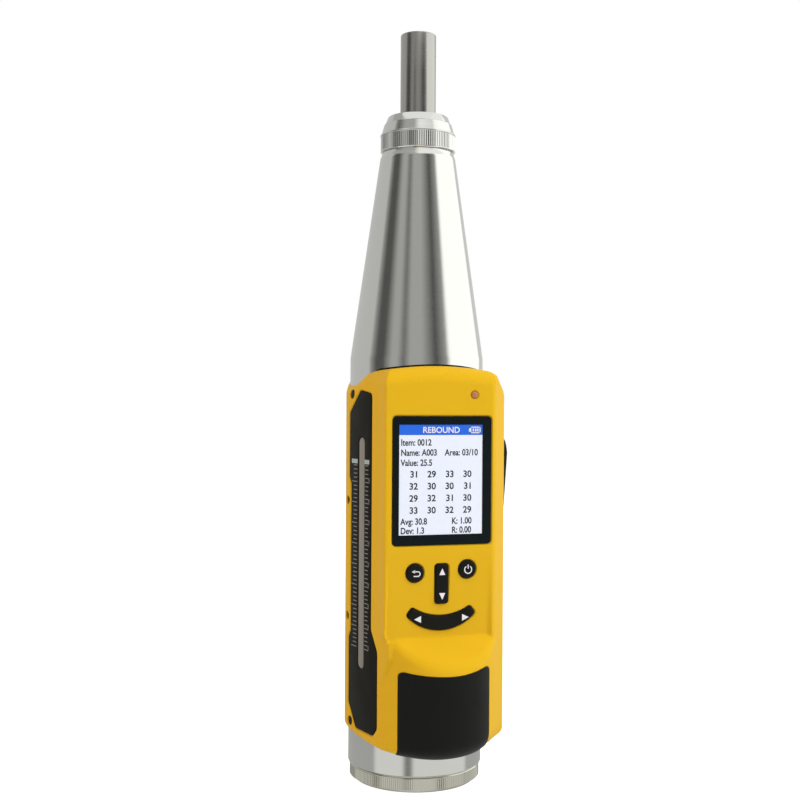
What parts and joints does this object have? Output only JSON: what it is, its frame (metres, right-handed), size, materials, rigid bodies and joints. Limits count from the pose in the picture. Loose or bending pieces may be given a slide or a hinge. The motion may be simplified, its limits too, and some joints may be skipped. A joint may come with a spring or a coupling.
{
  "type": "concrete test hammer",
  "caption": "Handheld rebound hammer for testing concrete: turned metal body with spring driven plunger, yellow moulded cover with display and keys, side scale, lock button and palm pad.",
  "frame": {"origin": "centre of the rear cap's flat end, on the axis of the metal body", "axes": "+Z along the body's axis towards the plunger, -Y towards the display, -X towards the scale"},
  "size_m": [0.064, 0.0758, 0.314],
  "materials": {
    "turned_aluminium": "turned and polished",
    "plunger_steel": "ground",
    "machined_steel": "machined",
    "spring_steel": "drawn wire",
    "felt": "felt",
    "yellow_plastic": "fine moulded texture",
    "black_plastic": "moulded",
    "black_rubber": "moulded",
    "grey_window": "clear strip over grey",
    "black_glass": "polished",
    "display_white": "lit",
    "circuit_board": "coated",
    "battery_blue": "sleeved",
    "copper_light": "moulded lens",
    "black_screws": "blackened"
  },
  "bodies": {
    "body": {"tube_housing": "turned_aluminium", "nose_cap": "turned_aluminium", "felt_ring": "felt", "split_ring": "machined_steel", "guide_sleeve": "machined_steel", "impact_spring": "spring_steel", "return_spring": "spring_steel", "rear_cap": "turned_aluminium", "trip_screw": "machined_steel", "lock_nut": "machined_steel", "rider_rod": "machined_steel", "button_spring": "spring_steel", "front_cover": "yellow_plastic", "rear_cover": "yellow_plastic", "cover_screws": "black_screws", "scale_panel": "black_plastic", "scale_window": "grey_window", "display_window": "black_glass", "display_module": "display_white", "main_board": "circuit_board", "board_screws": "machined_steel", "saddle": "black_plastic", "keypad_mat": "black_rubber", "indicator_light": "copper_light", "palm_pad": "black_rubber", "battery_pack": "battery_blue", "battery_tray": "black_plastic", "sensor_strip": "circuit_board"},
    "plunger_set": {"plunger": "plunger_steel", "buffer_spring": "spring_steel", "guide_rod": "machined_steel", "guide_flange": "machined_steel", "pawl_pin": "machined_steel", "pawl_spring": "spring_steel"},
    "pawl": {"pawl": "machined_steel"},
    "hammer": {"hammer_mass": "machined_steel"},
    "rider": {"rider": "black_plastic"},
    "lock": {"lock_button": "black_plastic", "lock_bar": "machined_steel"},
    "back_key": {"back_key": "black_rubber"},
    "power_key": {"power_key": "black_rubber"},
    "up_down_key": {"up_down_key": "black_rubber"},
    "left_right_key": {"left_right_key": "black_rubber"}
  },
  "joints": [
    {"name": "plunger_slide", "type": "slide", "parent": "body", "child": "plunger_set", "axis": [0, 0, 1], "range_m": [0, 0.075], "deforming": ["return_spring"]},
    {"name": "hammer_slide", "type": "slide", "parent": "body", "child": "hammer", "axis": [0, 0, 1], "range_m": [0, 0.075], "deforming": ["impact_spring"]},
    {"name": "pawl_hinge", "type": "hinge", "parent": "plunger_set", "child": "pawl", "pos_m": [0.0125, 0, 0.039], "axis": [0, 1, 0], "range_deg": [0, 14], "stiffness_Nm_per_rad": 0.05, "deforming": ["pawl_spring"]},
    {"name": "rider_slide", "type": "slide", "parent": "body", "child": "rider", "axis": [0, 0, -1], "range_m": [0, 0.075]},
    {"name": "lock_slide", "type": "slide", "parent": "body", "child": "lock", "axis": [-1, 0, 0], "range_m": [0, 0.0022], "stiffness_N_per_m": 900, "deforming": ["button_spring"]},
    {"name": "back_key_press", "type": "slide", "parent": "body", "child": "back_key", "axis": [0, 1, 0], "range_m": [0, 0.0008], "stiffness_N_per_m": 1500},
    {"name": "power_key_press", "type": "slide", "parent": "body", "child": "power_key", "axis": [0, 1, 0], "range_m": [0, 0.0008], "stiffness_N_per_m": 1500},
    {"name": "up_down_rock", "type": "hinge", "parent": "body", "child": "up_down_key", "pos_m": [0, -0.0323, 0.0856], "axis": [1, 0, 0], "range_deg": [-4, 4], "stiffness_Nm_per_rad": 0.06},
    {"name": "left_right_rock", "type": "hinge", "parent": "body", "child": "left_right_key", "pos_m": [0, -0.0323, 0.0701], "axis": [0, 0, 1], "range_deg": [-2.5, 2.5], "stiffness_Nm_per_rad": 0.06}
  ],
  "couplings": [
    {"joint": "hammer_slide", "follows": "plunger_slide", "ratio": 1}
  ]
}
